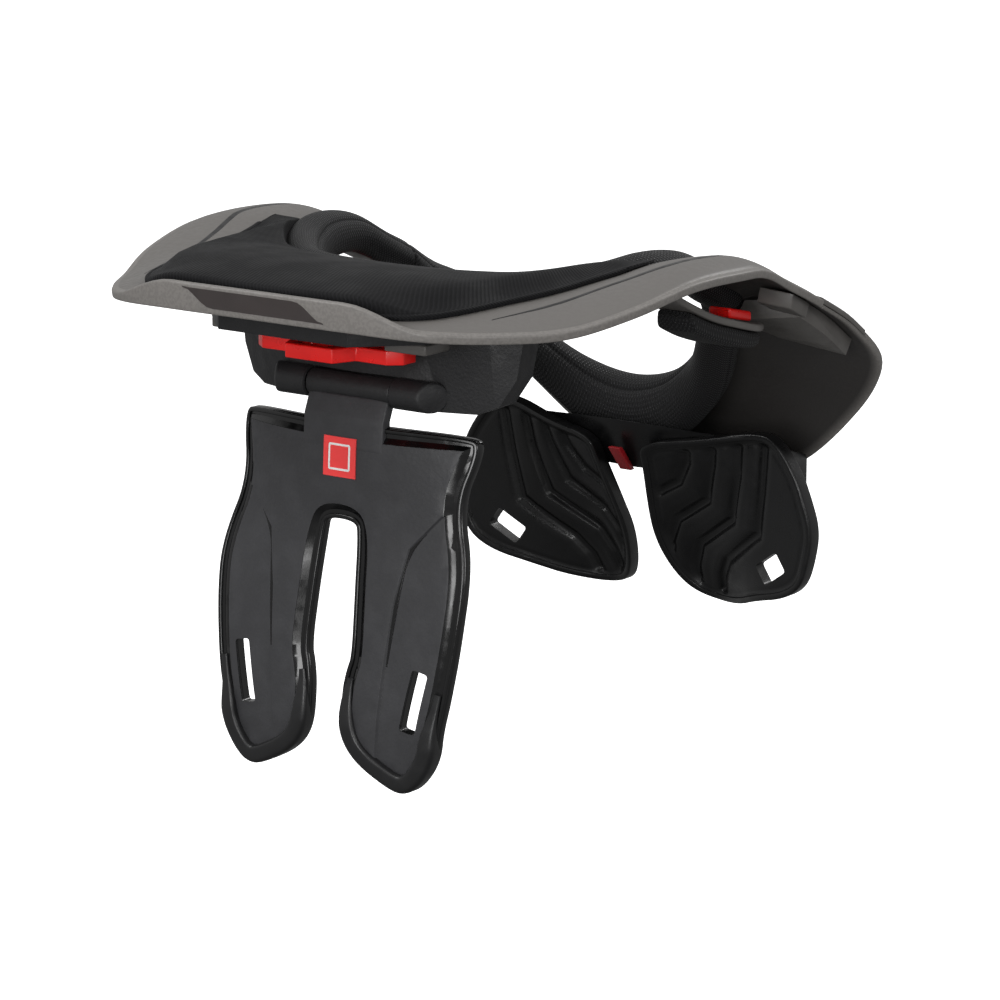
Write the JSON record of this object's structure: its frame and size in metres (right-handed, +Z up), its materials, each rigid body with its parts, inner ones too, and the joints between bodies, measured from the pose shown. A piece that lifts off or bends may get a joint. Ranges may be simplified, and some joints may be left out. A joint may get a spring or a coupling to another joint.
{
  "type": "motocross neck brace",
  "caption": "Neck brace for motocross: a saddle-shaped collar in two halves with padded neck opening, folding back strut, chest flaps and release levers.",
  "frame": {"origin": "middle of the neck opening, at the height where the brace sits on the wearer's shoulders", "axes": "+X to the wearer's right, +Y towards the chest, +Z up"},
  "size_m": [0.2412, 0.2981, 0.197],
  "materials": {
    "shell": "satin moulded plastic, warm mid grey",
    "pad": "smooth fine-ribbed black fabric",
    "mesh": "black mesh fabric",
    "plastic": "fine-textured black plastic",
    "rubber": "smooth black rubber",
    "red": "bright red moulded plastic",
    "dark_red": "dark red moulded plastic",
    "label": "red label, bare but for a thin pale frame",
    "steel": "plain steel pin"
  },
  "bodies": {
    "root": {"rear_table": "shell", "rear_table_pad": "pad", "rear_neck_roll": "mesh", "hinge_chassis": "plastic", "hinge_pin": "steel", "lock_bracket_right": "shell", "lock_bracket_left": "shell", "shoulder_tongue_right": "shell", "shoulder_pad_right": "mesh", "tongue_peg_right": "red", "shoulder_tongue_left": "shell", "shoulder_pad_left": "mesh", "tongue_peg_left": "red", "latch_bracket_right": "shell", "latch_bracket_left": "shell"},
    "angle_lock": {"angle_lock_lever": "red"},
    "back_strut": {"thoracic_strut": "plastic", "strut_bumper_right": "rubber", "strut_bumper_left": "rubber", "strut_label": "label"},
    "front": {"front_table": "shell", "front_neck_roll": "mesh", "latch_block_right": "shell", "size_slider_right": "dark_red", "latch_block_left": "shell", "size_slider_left": "dark_red", "chest_flap_right": "plastic", "chest_flap_left": "plastic", "chest_shelf": "plastic", "chest_clip": "dark_red"},
    "lever_right": {"release_lever_right": "shell"},
    "lever_left": {"release_lever_left": "shell"}
  },
  "joints": [
    {"name": "strut_hinge", "type": "hinge", "parent": "root", "child": "back_strut", "pos_m": [0, -0.0795, -0.028], "axis": [1, 0, 0], "range_deg": [-10, 25]},
    {"name": "front_hinge", "type": "hinge", "parent": "root", "child": "front", "pos_m": [-0.1142, 0.0663, -0.005], "axis": [0, 0, 1], "range_deg": [0, 60]},
    {"name": "angle_lock_slide", "type": "slide", "parent": "root", "child": "angle_lock", "axis": [0, -1, 0], "range_m": [0, 0.006]},
    {"name": "release_right", "type": "hinge", "parent": "front", "child": "lever_right", "pos_m": [0.10951, 0.10393, -0.02281], "axis": [-0.7009, -0.6419, 0.311], "range_deg": [0, 30]},
    {"name": "release_left", "type": "hinge", "parent": "front", "child": "lever_left", "pos_m": [-0.10951, 0.10393, -0.02281], "axis": [-0.7009, 0.6419, -0.311], "range_deg": [0, 30]}
  ]
}
